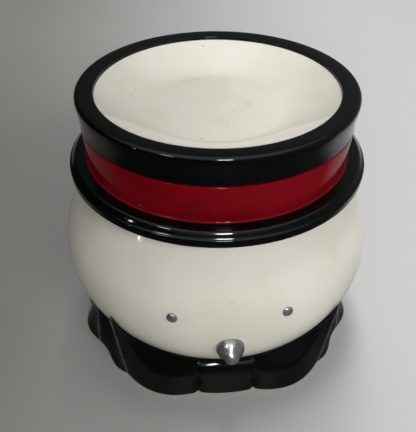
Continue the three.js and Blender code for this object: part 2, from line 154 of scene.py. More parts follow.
class HatSizes(bpy.types.PropertyGroup):
    """Brim and band."""

    brim_radius: length("Brim radius", "Half the width of the brim", 0.064)
    brim_edge: length("Brim edge", "Height of the brim's outer wall", 0.0036)
    brim_round: length("Brim rounding", "Rounding of the brim's edge", 0.0008)
    brim_shoulder: length("Brim shoulder", "From the edge in to the middle of the shoulder", 0.0019)
    brim_fall: length("Brim fall", "From the flat top down to the same place", 0.0008)
    brim_margin: length("Brim margin", "From the edge in to the flat top", 0.0032)
    band_foot: length("Band foot", "Radius of the band where it meets the brim", 0.0559)
    band_top: length("Band top", "Radius of the band where the dish sits", 0.0572)
    band_wall: length("Band wall", "Thickness of the band", 0.0046)
    band_fillet: length("Band fillet", "Hollow round between band and brim", 0.0009)


class DishSizes(bpy.types.PropertyGroup):
    """The dish that lifts off the hat."""

    rim_radius: length("Rim radius", "Half the width of the rim", 0.0581)
    rim_round: length("Rim rounding", "Rounding of the rim's outer edge", 0.0017)
    rim_drop: length("Rim drop", "How far the rim falls towards the bowl", 0.0004)
    rim_lip: length("Rim lip", "How far the rim stands above the edge of the bowl", 0.0013)
    opening: length("Opening", "Radius where the white bowl begins", 0.0503)
    floor_radius: length("Floor radius", "Radius of the bowl's flat floor", 0.028)
    depth: length("Depth", "Rim to the bowl's floor", 0.0108)
    wall: length("Wall", "Thickness of the bowl", 0.004)
    spigot_outer: length("Spigot radius", "Outside of the ring that drops into the hat", 0.052)
    spigot_inner: length("Spigot bore", "Inside of the same ring", 0.0458)


class CollarSizes(bpy.types.PropertyGroup):
    """The pleated ruff."""

    radius: length("Radius", "Mean radius of the ruff on the floor", 0.0664)
    front_height: length("Front height", "Height of the edge under the nose", 0.0218)
    side_height: length("Side height", "Height of the edge beside the front lobe", 0.024)
    rear_height: length("Rear height", "Height of the edge behind the first ridge", 0.019)
    first_ridge: length("First ridge", "Height of the two ridges beside the face", 0.0455)
    second_ridge: length("Second ridge", "Height of the ridges behind those", 0.028)
    rear_ridge: length("Rear ridges", "Height of the other ridges", 0.021)
    lip: length("Lip", "Thickness of the edge against the head", 0.0008)
    fit: length("Fit", "Gap between the ruff and the head", 0.0006)
    front_drop: length("Front drop", "Edge down to the shoulder, on the front lobe", 0.006)
    lobe_drop: length("Lobe drop", "Edge down to the shoulder, on the other lobes", 0.009)
    ridge_drop: length("Ridge drop", "Edge down to the shoulder, on a ridge", 0.002)
    front_turn: fraction("Front turn", "Share of the drop where the front lobe turns in to its bevel", 0.70)
    front_pull: fraction("Front pull", "How far into that corner the front lobe's shoulder reaches", 0.9)
    lobe_turn: fraction("Lobe turn", "The same share on the other lobes, which slope up to the head", 0.22)
    lean: length("Lean", "How far the wall leans out", 0.0005)
    foot_round: length("Foot rounding", "Rounding where the wall meets the floor", 0.001)
    bore_height: length("Bore height", "Below this the inside is a plain bore", 0.006)
    front_inset: length("Front inset", "How far the front lobe is set back", 0.004)
    front_flare: length("Front flare", "How far its shoulder leans out at the creases", 0.0011)
    side_swell: length("Side swell", "How far a side lobe swells", 0.0035)
    rear_swell: length("Rear swell", "How far a rear lobe swells", 0.003)
    pleat_wave: length("Pleat wave", "Waviness of the foot behind the first ridge", 0.001)
    pleat_depth: length("Pleat depth", "Depth of the fold behind a ridge", 0.005)
    crease_depth: length("Crease depth", "Depth of the two front creases", 0.0018)
    crease_width: degrees("Crease width", "Half width of the groove in a crease", 1.0)
    crease_angle: degrees("Crease angle", "Crease, from the front", 11.8)
    crease_spread: degrees("Crease spread", "From the front lobe over to the next", 1.7)
    ridge_angle: degrees("Ridge angle", "First ridge, from the front", 43.3)
    ridge_pitch: degrees("Ridge pitch", "From one ridge to the next", 22)
    front_spread: degrees("Front spread", "How slowly a ridge falls away in front", 5.2)
    rear_spread: degrees("Rear spread", "How slowly a ridge falls away behind", 3.4)
    ridge_round: degrees("Ridge rounding", "Softness of a ridge", 0.7)
    ridge_count: IntProperty(name="Ridges", description="Ridges on each side", default=5, min=1, max=7)


class FaceSizes(bpy.types.PropertyGroup):
    """Nose and eyes."""

    nose_radius: length("Nose radius", "Nose at its root", 0.0058)
    nose_length: length("Nose length", "From the head to the tip", 0.0082)
    nose_tip: length("Nose tip", "Rounding of the tip", 0.0032)
    nose_height: length("Nose height", "Above the floor", 0.0446)
    eye_radius: length("Eye radius", "Half the width of an eye", 0.0023)
    eye_proud: length("Eye proud", "How far an eye stands out", 0.0015)
    eye_height: length("Eye height", "Above the floor", 0.0598)
    eye_angle: degrees("Eye angle", "Eye, from the nose", 18.8)


class Colours(bpy.types.PropertyGroup):
    """Colours of the glazes, the paint, the tealight and the table."""

    white: colour("White", "White glaze where it is thick", (0.80, 0.768, 0.683))
    cream: colour("Cream", "White glaze where it is thin", (0.74, 0.698, 0.605))
    speck: colour("Speck", "Iron specks in the white", (0.20, 0.14, 0.08))
    stain: colour("Stain", "Old wax in the bowl", (0.60, 0.50, 0.36))
    black: colour("Black", "Black glaze", (0.0006, 0.0009, 0.0010))
    # Paler colour painted along each ridge: partly thin glaze, partly a painted highlight on the sharp edge
    black_ridge_glaze_and_sheen: colour("Ridge glaze and sheen", "Black glaze where it has run thin on a ridge", (0.16, 0.152, 0.137))
    clay: colour("Clay", "Bare fired clay at the foot", (0.52, 0.47, 0.40))
    red: colour("Red", "Red glaze", (0.195, 0.0028, 0.008))
    red_deep: colour("Deep red", "Red glaze where it has pooled", (0.15, 0.0015, 0.005))
    silver: colour("Silver", "Silver paint on the nose", (0.35, 0.35, 0.345))
    # Painted light and shade: a copy of the silver paint, toned apart from the nose's to paint in how light
    # falls on the eyes
    eye_silver_painted_light: colour("Eye silver, painted light", "Duller silver paint on the eyes", (0.44, 0.44, 0.435))
    foil: colour("Foil", "Cup of the tealight", (0.80, 0.81, 0.82))
    tin: colour("Tin", "Plate that holds the wick", (0.62, 0.62, 0.63))
    wax: colour("Wax", "Candle wax", (0.88, 0.86, 0.80))
    wax_warm: colour("Warm wax", "Candle wax where it is yellower", (0.83, 0.80, 0.72))
    cotton: colour("Cotton", "Wick", (0.76, 0.70, 0.58))
    cotton_dark: colour("Dark cotton", "Wick where it is soiled", (0.58, 0.51, 0.40))
    floor: colour("Floor", "Table top", (0.66, 0.665, 0.66))
    # Painted shade: the table's colour on its left side, darker to stand for the shade falling there
    floor_painted_shade: colour("Floor away", "Table top on the side away from the light", (0.24, 0.233, 0.213))


class SnowmanSettings(bpy.types.PropertyGroup):
    """Everything that a user may change."""

    head: PointerProperty(type=HeadSizes)
    hat: PointerProperty(type=HatSizes)
    dish: PointerProperty(type=DishSizes)
    collar: PointerProperty(type=CollarSizes)
    face: PointerProperty(type=FaceSizes)
    colours: PointerProperty(type=Colours)


# Steps along a line


def between(start, end, share):
    """The value a share of the way from one to another."""
    return start + (end - start) * share


def spaced(start, end, steps):
    """Even steps from one value to another, with both ends."""
    return [between(start, end, step / steps) for step in range(steps + 1)]


def ease(share):
    """A share held between 0 and 1, with soft ends."""
    held = min(1, max(0, share))
    return held * held * (3 - 2 * held)


# Workshop: how a piece is drawn, turned, cut and handed over


def clear_selection():
    """Leaves edit mode and lets go of everything."""
    if bpy.context.mode != "OBJECT":
        bpy.ops.object.mode_set(mode="OBJECT")
    bpy.ops.object.select_all(action="DESELECT")


def pick(piece):
    """Makes one object the selected and active one."""
    clear_selection()
    piece.select_set(True)
    bpy.context.view_layer.objects.active = piece


def name_new(name):
    """Names the object that was just added."""
    piece = bpy.context.object
    piece.name = name
    piece.data.name = name
    return piece


def set_in_place(piece):
    """Puts an object's place, turn and scale into its mesh."""
    pick(piece)
    bpy.ops.object.transform_apply(location=True, rotation=True, scale=True)


def select_edges(piece, wanted):
    """Goes into edit mode and selects the edges that a test wants."""
    pick(piece)
    bpy.ops.object.mode_set(mode="EDIT")
    bpy.ops.mesh.select_mode(type="EDGE")
    bpy.ops.mesh.select_all(action="DESELECT")
    mesh = bmesh.from_edit_mesh(piece.data)
    for edge in mesh.edges:
        edge.select_set(wanted(edge))
    bmesh.update_edit_mesh(piece.data)


def draw_profile(name, points):
    """Draws a chain of points, each a radius and a height, by pulling one vertex along."""
    clear_selection()
    bpy.ops.mesh.primitive_plane_add(size=SEED_SIZE)
    piece = name_new(name)
    bpy.ops.object.mode_set(mode="EDIT")
    bpy.ops.mesh.select_mode(type="VERT")
    bpy.ops.mesh.select_all(action="SELECT")
    bpy.ops.mesh.merge(type="CENTER")
    here = Vector((points[0][0], 0, points[0][1]))
    bpy.ops.transform.translate(value=here)
    for radius, height in points[1:]:
        there = Vector((radius, 0, height))
        bpy.ops.mesh.extrude_vertices_move(TRANSFORM_OT_translate={"value": there - here})
        here = there
    return piece


def close_skin():
    """Welds the seam and the poles in edit mode, turns the faces outwards and leaves that mode."""
    bpy.ops.mesh.select_all(action="SELECT")
    bpy.ops.mesh.remove_doubles(threshold=MERGE_DISTANCE)
    bpy.ops.mesh.normals_make_consistent(inside=False)
    bpy.ops.object.mode_set(mode="OBJECT")


def turn_on_wheel(name, points, steps=WHEEL_STEPS):
    """Spins a profile right round the axis, as on a potter's wheel."""
    piece = draw_profile(name, points)
    bpy.ops.mesh.select_all(action="SELECT")
    bpy.ops.mesh.spin(steps=steps, angle=2 * math.pi, center=(0, 0, 0), axis=(0, 0, 1))
    close_skin()
    return piece


def turn_ring(name, points, steps=WHEEL_STEPS):
    """Spins a closed profile, for a piece with a hole through it."""
    return turn_on_wheel(name, [*points, points[0]], steps)


def arc(centre, radius, start, end, steps):
    """Points on a round, from one direction in degrees to another."""
    turns = [math.radians(angle) for angle in spaced(start, end, steps)]
    return [(centre[0] + radius * math.cos(turn), centre[1] + radius * math.sin(turn)) for turn in turns]


def sweep(start, start_pull, end_pull, end, steps):
    """Points on a free curve, pulled at both ends."""
    knots = [Vector((radius, 0, height)) for radius, height in (start, start_pull, end_pull, end)]
    return [(point.x, point.z) for point in interpolate_bezier(*knots, steps + 1)]


def toward(end, corner, pull):
    """The pull that bends a curve's end towards a corner, so that the curve rounds it off."""
    return tuple(between(here, there, pull) for here, there in zip(end, corner))


def apply_modifier(piece, name, kind, **settings):
    """Adds a modifier and applies it at once."""
    pick(piece)
    modifier = piece.modifiers.new(name, kind)
    for key, value in settings.items():
        setattr(modifier, key, value)
    bpy.ops.object.modifier_apply(modifier=modifier.name)


def hand_over(piece, node, body, finish, angle=SMOOTH_ANGLE):
    """Smooths a piece but for its real corners, gives it its finish and puts it in its solid's place."""
    pick(piece)
    bpy.ops.object.shade_smooth_by_angle(angle=angle)
    piece.data.materials.clear()
    piece.data.materials.append(finish)
    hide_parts(node)
    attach(piece, body)


# Shapes that pieces share


def ball_radius(head, height, inset=0.0):
    """Radius of the head at a height, on its skin or on a skin set in from it."""
    rise = (height - head.centre) / (head.half_height - inset)
    return (head.radius - inset) * math.sqrt(max(0, 1 - rise * rise))


def meridian(head, inset, start, end, steps):
    """Points up or down the head between two heights, evenly spaced by angle."""
    wide = head.radius - inset
    tall = head.half_height - inset
    first, last = (math.asin((height - head.centre) / tall) for height in (start, end))
    angles = spaced(first, last, steps)
    return [(wide * math.cos(angle), head.centre + tall * math.sin(angle)) for angle in angles]


def doorway_block(head):
    """A block with an arched top, to cut the doorway with."""
    deep = 2 * head.radius
    clear_selection()
    bpy.ops.mesh.primitive_cube_add(
        size=1, location=(0, head.door_start + deep / 2, head.floor + head.door_height / 2)
    )
    block = name_new("doorway_block")
    block.scale = (head.door_width, deep, head.door_height)
    set_in_place(block)
    top = head.floor + head.door_height - MERGE_DISTANCE

    def is_shoulder(edge):
        start, end = (vert.co for vert in edge.verts)
        return abs(end.y - start.y) > deep / 2 and start.z > top

    select_edges(block, is_shoulder)
    bpy.ops.mesh.bevel(offset=head.door_width / 2 - MERGE_DISTANCE, segments=24)
    bpy.ops.object.mode_set(mode="OBJECT")
    return block


def cut_doorway(piece, head):
    """Cuts the doorway through a piece."""
    block = doorway_block(head)
    apply_modifier(piece, "Doorway", "BOOLEAN", operation="DIFFERENCE", solver="EXACT", object=block)
    bpy.data.objects.remove(block)


def bowl_height(dish, radius):
    """Height of the inside of the bowl at a radius."""
    top = RIM.top - dish.rim_drop - dish.rim_lip
    bottom = RIM.top - dish.depth
    share = max(0, radius - dish.floor_radius) / (dish.opening - dish.floor_radius)
    return between(bottom, top, share ** BOWL_CURVE)


def bowl_curve(dish, start, end, shift, steps):
    """Points along the bowl between two radii, shifted in height."""
    return [(radius, bowl_height(dish, radius) + shift) for radius in spaced(start, end, steps)]


# The ruff, worked out direction by direction


class RuffShape:
    """The ruff's section in any direction, with angles in radians from the front."""

    def __init__(self, collar, head):
        self.collar = collar
        self.head = head
        self.ridges = [collar.ridge_angle + count * collar.ridge_pitch for count in range(collar.ridge_count)]
        self.peaks = [collar.first_ridge, collar.second_ridge, *[collar.rear_ridge] * collar.ridge_count]

    def nearness(self, angle, ridge):
        """1 on a ridge, less away from it, and faster behind it than in front."""
        collar = self.collar
        spread = collar.front_spread if angle < ridge else collar.rear_spread
        away = math.hypot(angle - ridge, collar.ridge_round) - collar.ridge_round
        return math.exp(-away / spread)

    def ridge_share(self, angle):
        """1 on any ridge, and less away from all of them."""
        return max(self.nearness(angle, ridge) for ridge in self.ridges)

    def pleat_share(self, angle):
        """How far round an angle lies from the ridge in front of it to the next, from 0 to 1."""
        return ((angle - self.collar.ridge_angle) / self.collar.ridge_pitch) % 1

    def beside(self, angle):
        """0 on the front lobe and 1 on the lobes beside and behind it."""
        return ease((angle - self.collar.crease_angle) / self.collar.crease_spread)

    def lobe(self, angle):
        """Height of the edge between ridges: at the front, beside the creases, behind the first ridge."""
        collar = self.collar
        behind = ease((angle - collar.ridge_angle) / collar.ridge_pitch)
        front = between(collar.front_height, collar.side_height, self.beside(angle))
        return between(front, collar.rear_height, behind)

    def top(self, angle):
        """Height of the edge."""
        lobe = self.lobe(angle)
        height = lobe
        for ridge, peak in zip(self.ridges, self.peaks):
            height += (peak - lobe) * self.nearness(angle, ridge)
        return height

    def foot(self, angle):
        """Radius on the floor."""
        collar = self.collar
        if angle <= collar.crease_angle:
            return collar.radius - collar.front_inset
        if angle <= collar.ridge_angle:
            share = (angle - collar.crease_angle) / (collar.ridge_angle - collar.crease_angle)
            inset = collar.front_inset * (1 - share)
            return collar.radius - inset + collar.side_swell * math.sin(math.pi * share)
        if angle <= collar.ridge_angle + collar.ridge_pitch:
            return collar.radius + collar.pleat_wave * math.sin(2 * math.pi * self.pleat_share(angle))
        last = self.ridges[-1]
        if angle <= last:
            share = self.pleat_share(angle)
        else:
            share = min(1, (angle - last) / (math.pi - last))
        return collar.radius + collar.rear_swell * math.sin(math.pi * share)

    def valley(self, angle):
        """How deep the wall is folded in behind a ridge."""
        if angle <= self.ridges[0] or angle >= self.ridges[-1]:
            return 0.0
        return self.collar.pleat_depth * math.sin(math.pi * self.pleat_share(angle) ** PLEAT_SKEW)

    def crease_share(self, angle):
        """1 in the crease beside the front lobe, and less away from it."""
        away = (angle - self.collar.crease_angle) / self.collar.crease_width
        return math.exp(-away * away)

    def flare(self, angle):
        """How far the front lobe's shoulder leans out further than the wall below it."""
        share = angle / self.collar.crease_angle
        return self.collar.front_flare * (share * share if share <= 1 else self.crease_share(angle))

    def cup(self, height):
        """Radius of the inside, which follows the head."""
        return ball_radius(self.head, height) + self.collar.fit

    def section(self, angle):
        """Points from the foot up the wall, over the shoulder and the lip, and down inside to the floor."""
        collar = self.collar
        ridge = self.ridge_share(angle)
        top = self.top(angle)
        beside = self.beside(angle)
        drop = between(between(collar.front_drop, collar.lobe_drop, beside), collar.ridge_drop, ridge)
        shoulder = top - drop
        turn = shoulder + drop * between(collar.front_turn, collar.lobe_turn, beside)
        foot = self.foot(angle)
        edge = self.cup(top) + collar.lip
        wall_top = foot + collar.lean + self.flare(angle) - self.valley(angle)
        shoulder_radius = between(wall_top, edge, ridge)
        groove = collar.crease_depth * self.crease_share(angle)
        bend = collar.foot_round
        points = arc((foot - bend - groove / 2, bend), bend, -90, 0, steps=3)
        for share in spaced(0, 1, WALL_STEPS)[1:-1]:
            cut = groove * (1 + math.sin(math.pi * share)) / 2
            points.append((between(foot, shoulder_radius, share) - cut, between(bend, shoulder, share)))
        start = (shoulder_radius - groove / 2, shoulder)
        corner = (shoulder_radius - groove / 2, turn)
        end = (edge, top)
        pull = between(collar.front_pull, EVEN_PULL, beside)
        pulls = toward(start, corner, pull), toward(end, corner, pull)
        for radius, height in sweep(start, *pulls, end, SHOULDER_STEPS):
            points.append((max(radius, self.cup(height) + collar.lip), height))
        for height in spaced(top, collar.bore_height, CUP_STEPS):
            points.append((self.cup(height), height))
        points.append((self.cup(collar.bore_height), 0))
        return points

    def directions(self):
        """Angles of the sections on one side, closer together towards each crease and ridge."""
        stations = [0, self.collar.crease_angle, *self.ridges, math.pi]
        angles = []
        for start, end in zip(stations, stations[1:]):
            steps = max(LEAST_SECTIONS, round((end - start) / SECTION_TURN))
            for step in range(steps):
                angles.append(between(start, end, (1 - math.cos(math.pi * step / steps)) / 2))
        angles.append(math.pi)
        return angles


# Shader nodes


def add(tree, kind, **settings):
    """Adds a node with its settings."""
    node = tree.nodes.new(kind)
    for key, value in settings.items():
        setattr(node, key, value)
    return node


def plug(tree, socket, value):
    """Links a socket to another one, or gives it a value of its own."""
    if isinstance(value, bpy.types.NodeSocket):
        tree.links.new(value, socket)
    else:
        socket.default_value = value


def feed(tree, node, **inputs):
    """Plugs in a node's inputs, named with underscores for spaces."""
    for key, value in inputs.items():
        plug(tree, node.inputs[key.replace("_", " ")], value)


def reckon(tree, operation, *values):
    """The result of one step of arithmetic."""
    node = add(tree, "ShaderNodeMath", operation=operation)
    for socket, value in zip(node.inputs, values):
        plug(tree, socket, value)
    return node.outputs[0]


def spread(tree, value, low, high, to_low=0.0, to_high=1.0):
    """A value taken from one range to another, with soft ends."""
    node = add(tree, "ShaderNodeMapRange", interpolation_type="SMOOTHSTEP")
    feed(tree, node, Value=value, From_Min=low, From_Max=high, To_Min=to_low, To_Max=to_high)
    return node.outputs["Result"]


def lay_over(tree, share, under, upper):
    """One colour laid over another by a share."""
    node = add(tree, "ShaderNodeMix", data_type="RGBA")
    plug(tree, node.inputs["Factor"], share)
    plug(tree, node.inputs[MIX_UNDER], under)
    plug(tree, node.inputs[MIX_UPPER], upper)
    return node.outputs[MIX_RESULT]


def clouds(tree, place, scale, detail, roughness=0.5):
    """A soft noise."""
    node = add(tree, "ShaderNodeTexNoise")
    feed(tree, node, Vector=place, Scale=scale, Detail=detail, Roughness=roughness)
    return node.outputs["Fac"]


def axes(tree, place):
    """The three parts of a place, by name."""
    node = add(tree, "ShaderNodeSeparateXYZ")
    feed(tree, node, Vector=place)
    return node.outputs


def rgba(values):
    """A colour with full cover."""
    return (*values, 1.0)


def scaled(values, share):
    """A colour made lighter or darker."""
    return [share * part for part in values]


# Effects that the finishes share


def shared_group(name, inputs, result, kind, wire):
    """A shader group that is wired up once, and found again after that."""
    if name not in bpy.data.node_groups:
        group = bpy.data.node_groups.new(name, "ShaderNodeTree")
        for label, input_kind in inputs.items():
            group.interface.new_socket(name=label, in_out="INPUT", socket_type=input_kind)
        group.interface.new_socket(name=result, in_out="OUTPUT", socket_type=kind)
        into = add(group, "NodeGroupInput")
        out = add(group, "NodeGroupOutput")
        plug(group, out.inputs[result], wire(group, into.outputs))
    return bpy.data.node_groups[name]


def glaze_ripple_group():
    """Height of a fired glaze: slow waves with a fine orange peel on them."""
    peel_fineness = 9.0
    peel_height = 0.06

    def wire(group, into):
        waves = clouds(group, into["Place"], into["Waves"], detail=1.0)
        finer = reckon(group, "MULTIPLY", into["Waves"], peel_fineness)
        peel = clouds(group, into["Place"], finer, detail=1.0)
        return reckon(group, "MULTIPLY_ADD", peel, peel_height, waves)

    return shared_group("Glaze ripple", {"Place": VECTOR, "Waves": NUMBER}, "Height", NUMBER, wire)


def tone_drift_group():
    """A slow drift between two colours, as a glaze has where it is thick and thin."""

    def wire(group, into):
        cloud = clouds(group, into["Place"], into["Size"], detail=3.0, roughness=0.55)
        share = spread(group, cloud, low=0.32, high=0.68)
        return lay_over(group, share, into["Thick"], into["Thin"])

    inputs = {"Place": VECTOR, "Size": NUMBER, "Thick": COLOUR, "Thin": COLOUR}
    return shared_group("Tone drift", inputs, "Colour", COLOUR, wire)


def kiln_speck_group():
    """A mask of small round specks, thinly scattered."""

    def wire(group, into):
        cells = add(group, "ShaderNodeTexVoronoi")
        feed(group, cells, Vector=into["Place"], Scale=into["Count"])
        chance = add(group, "ShaderNodeSeparateColor")
        feed(group, chance, Color=cells.outputs["Color"])
        chosen = reckon(group, "LESS_THAN", chance.outputs["Red"], into["Share"])
        reach = reckon(group, "MULTIPLY", chance.outputs["Green"], into["Size"])
        spot = spread(group, cells.outputs["Distance"], low=reach, high=0.0)
        return reckon(group, "MULTIPLY", chosen, spot)

    inputs = {"Place": VECTOR, "Count": NUMBER, "Share": NUMBER, "Size": NUMBER}
    return shared_group("Kiln specks", inputs, "Mask", NUMBER, wire)


# Finishes


class Finish:
    """A material while it is being mixed, with the piece's own coordinates to hand."""

    def __init__(self, name):
        self.material = bpy.data.materials.new(name)
        self.material.use_nodes = True
        self.tree = self.material.node_tree
        self.surface = self.tree.nodes["Principled BSDF"]
        self.place = add(self.tree, "ShaderNodeTexCoord").outputs["Object"]

    def effect(self, group, **inputs):
        """What a shared group puts out with the values given here."""
        node = add(self.tree, "ShaderNodeGroup", node_tree=group)
        feed(self.tree, node, Place=self.place, **inputs)
        return node.outputs[0]

    def drift(self, size, thick, thin):
        """A colour that drifts from one tone to another and back."""
        return self.effect(tone_drift_group(), Size=size, Thick=rgba(thick), Thin=rgba(thin))

    def specks(self, count, share, size):
        """A mask of specks."""
        return self.effect(kiln_speck_group(), Count=count, Share=share, Size=size)

    def ripple(self, waves, strength, depth):
        """Makes the surface uneven."""
        node = add(self.tree, "ShaderNodeBump")
        height = self.effect(glaze_ripple_group(), Waves=waves)
        feed(self.tree, node, Height=height, Strength=strength, Distance=depth)
        self.set(Normal=node.outputs["Normal"])

    def patches(self, scale, low, high, detail=2.0, to_low=0.0, to_high=1.0):
        """Soft patches of a noise, from where it is low to where it is high."""
        noise = clouds(self.tree, self.place, scale, detail)
        return spread(self.tree, noise, low, high, to_low, to_high)

    def mottle(self, scale, smooth, dull):
        """A roughness that changes from place to place."""
        return self.patches(scale, low=0.3, high=0.7, to_low=smooth, to_high=dull)

    def times(self, first, second):
        """One value times another."""
        return reckon(self.tree, "MULTIPLY", first, second)

    def over(self, share, under, upper):
        """A colour laid over what is already there."""
        return lay_over(self.tree, share, under, rgba(upper))

    def set(self, **inputs):
        """Plugs in the shader's own inputs."""
        feed(self.tree, self.surface, **inputs)


def white_glaze(name, colours, stains):
    """Off-white gloss glaze with iron specks. The bowl's is glossier, with more specks and old wax."""
    finish = Finish(name)
    stain_cover = 0.3
    speck_cover = 0.8
    tone = finish.drift(size=28.0, thick=colours.white, thin=colours.cream)
    if stains:
        patch = finish.patches(scale=110.0, low=0.66, high=0.80, detail=4.0)
        tone = finish.over(finish.times(patch, stain_cover), tone, colours.stain)
        specks = finish.specks(count=190.0, share=0.55, size=0.15)
        gloss = 1.0
    else:
        specks = finish.specks(count=150.0, share=0.12, size=0.09)
        gloss = 0.5
    tone = finish.over(finish.times(specks, speck_cover), tone, colours.speck)
    finish.ripple(waves=55.0, strength=0.12, depth=0.0012)
    roughness = finish.mottle(scale=70.0, smooth=0.05, dull=0.10)
    finish.set(Base_Color=tone, Roughness=roughness, Specular_IOR_Level=gloss)
    return finish.material


def black_glaze(name, colours, ridges):
    """Black gloss glaze. On the ruff a paler brown-grey line is painted along the ridges, partly thin glaze
    and partly a painted highlight, and the foot is bare clay.
    """
    finish = Finish(name)
    tone = finish.drift(size=40.0, thick=colours.black, thin=scaled(colours.black, share=1.8))
    if ridges:
        # The pale ridge line: partly thin glaze, partly a painted highlight
        thin = add(finish.tree, "ShaderNodeAttribute", attribute_name=RIDGE_GLAZE_AND_SHEEN).outputs["Fac"]
        uneven = finish.patches(scale=220.0, low=0.24, high=0.50, detail=3.0)
        tone = finish.over(finish.times(thin, uneven), tone, colours.black_ridge_glaze_and_sheen)
        height = axes(finish.tree, finish.place)["Z"]
        bare = spread(finish.tree, height, low=0.0015, high=0.0010)
        tone = finish.over(bare, tone, colours.clay)
        roughness = spread(finish.tree, bare, low=0.0, high=1.0, to_low=0.08, to_high=0.75)
    else:
        roughness = finish.mottle(scale=80.0, smooth=0.05, dull=0.10)
    finish.ripple(waves=70.0, strength=0.14, depth=0.0010)
    finish.set(Base_Color=tone, Roughness=roughness, Specular_IOR_Level=0.26)
    return finish.material


def red_glaze(name, colours):
    """Deep red gloss glaze, darker where it has pooled."""
    finish = Finish(name)
    speck_cover = 0.5
    tone = finish.drift(size=45.0, thick=colours.red, thin=colours.red_deep)
    specks = finish.specks(count=160.0, share=0.06, size=0.08)
    tone = finish.over(finish.times(specks, speck_cover), tone, colours.black)
    finish.ripple(waves=60.0, strength=0.14, depth=0.0010)
    roughness = finish.mottle(scale=90.0, smooth=0.07, dull=0.13)
    finish.set(Base_Color=tone, Roughness=roughness, Specular_IOR_Level=0.09)
    return finish.material


def silver_lustre(name, tint):
    """Brushed-on silver paint, a little uneven."""
    finish = Finish(name)
    tone = finish.drift(size=260.0, thick=tint, thin=scaled(tint, share=0.72))
    finish.ripple(waves=420.0, strength=0.22, depth=0.0006)
    finish.set(Base_Color=tone, Metallic=0.75, Roughness=finish.mottle(scale=300.0, smooth=0.20, dull=0.34))
    return finish.material


def bright_metal(name, tint, smooth, dull):
    """Thin drawn or tinned sheet with fine wrinkles."""
    finish = Finish(name)
    tone = finish.drift(size=180.0, thick=tint, thin=scaled(tint, share=0.85))
    finish.ripple(waves=240.0, strength=0.25, depth=0.0006)
    finish.set(Base_Color=tone, Metallic=1.0, Roughness=finish.mottle(200.0, smooth, dull))
    return finish.material


def candle_wax(name, colours):
    """Milky white wax."""
    finish = Finish(name)
    tone = finish.drift(size=90.0, thick=colours.wax, thin=colours.wax_warm)
    finish.ripple(waves=130.0, strength=0.3, depth=0.0010)
    roughness = finish.mottle(scale=150.0, smooth=0.38, dull=0.55)
    finish.set(Base_Color=tone, Roughness=roughness, Subsurface_Weight=0.15, Subsurface_Scale=0.004)
    return finish.material


def wick_cotton(name, colours):
    """Waxed cotton braid."""
    finish = Finish(name)
    tone = finish.drift(size=600.0, thick=colours.cotton, thin=colours.cotton_dark)
    finish.ripple(waves=1500.0, strength=0.6, depth=0.0003)
    finish.set(Base_Color=tone, Roughness=0.85)
    return finish.material


# Operators, one for each piece or group of like pieces


class SNOWMAN_OT_head(bpy.types.Operator):
    """Throws the hollow head and cuts the doorway for the candle behind it"""

    bl_idname = "snowman.head"
    bl_label = "Head"

    def execute(self, context):
        settings = context.scene.snowman
        head = settings.head
        outside = meridian(head, 0, 0, HEAD.top, steps=56)
        inside = meridian(head, head.wall, HEAD.top, head.floor, steps=40)
        ball = turn_on_wheel("glazed_head", [(0, 0), *outside, *inside, (0, head.floor)])
        cut_doorway(ball, head)
        glaze = white_glaze("White glaze", settings.colours, stains=False)
        hand_over(ball, "head_shell", "holder", glaze)
        return {"FINISHED"}


class SNOWMAN_OT_collar(bpy.types.Operator):
    """Raises the pleated ruff round the head"""

    bl_idname = "snowman.collar"
    bl_label = "Collar"

    def execute(self, context):
        settings = context.scene.snowman
        shape = RuffShape(settings.collar, settings.head)
        right = shape.directions()
        turns = [*right, *(-angle for angle in reversed(right[1:-1]))]
        sections = [shape.section(abs(angle)) for angle in turns]
        ruff = self.raise_wall(len(turns), len(sections[0]))
        self.fold(ruff, turns, sections)
        self.mark_ridge_glaze_and_sheen(ruff, shape)
        cut_doorway(ruff, settings.head)
        glaze = black_glaze("Ruff glaze", settings.colours, ridges=True)
        hand_over(ruff, "collar", "holder", glaze)
        return {"FINISHED"}

    def raise_wall(self, around, levels):
        """A plain wall of stacked rings, closed inside by a bridge from the last ring to the first."""
        clear_selection()
        bpy.ops.mesh.primitive_circle_add(vertices=around, radius=1, fill_type="NOTHING")
        ruff = name_new("glazed_collar")
        select_edges(ruff, lambda edge: True)
        for level in range(levels - 1):
            bpy.ops.mesh.extrude_region_move(TRANSFORM_OT_translate={"value": (0, 0, 1)})
        select_edges(ruff, lambda edge: edge.is_boundary)
        bpy.ops.mesh.bridge_edge_loops()
        bpy.ops.object.mode_set(mode="OBJECT")
        return ruff

    def fold(self, ruff, turns, sections):
        """Moves each point of the wall to its place in the pleats."""
        step = 2 * math.pi / len(turns)
        for vert in ruff.data.vertices:
            level = round(vert.co.z)
            turn = round(math.atan2(vert.co.x, -vert.co.y) / step) % len(turns)
            radius, height = sections[turn][level]
            vert.co = (radius * math.sin(turns[turn]), -radius * math.cos(turns[turn]), height)
        pick(ruff)
        bpy.ops.object.mode_set(mode="EDIT")
        close_skin()

    def mark_ridge_glaze_and_sheen(self, ruff, shape):
        """Marks where the pale line is painted: along the ridges, on the outside. It is partly thin glaze and
        partly a painted highlight.
        """
        thin = ruff.data.attributes.new(RIDGE_GLAZE_AND_SHEEN, "FLOAT", "POINT")
        for vert, mark in zip(ruff.data.vertices, thin.data):
            angle = abs(math.atan2(vert.co.x, -vert.co.y))
            away = min(abs(angle - ridge) for ridge in shape.ridges)
            outside = math.hypot(vert.co.x, vert.co.y) > shape.cup(vert.co.z) + shape.collar.lip / 2
            mark.value = math.exp(-((away / RIDGE_SHEEN_WIDTH) ** 2)) if outside else 0.0


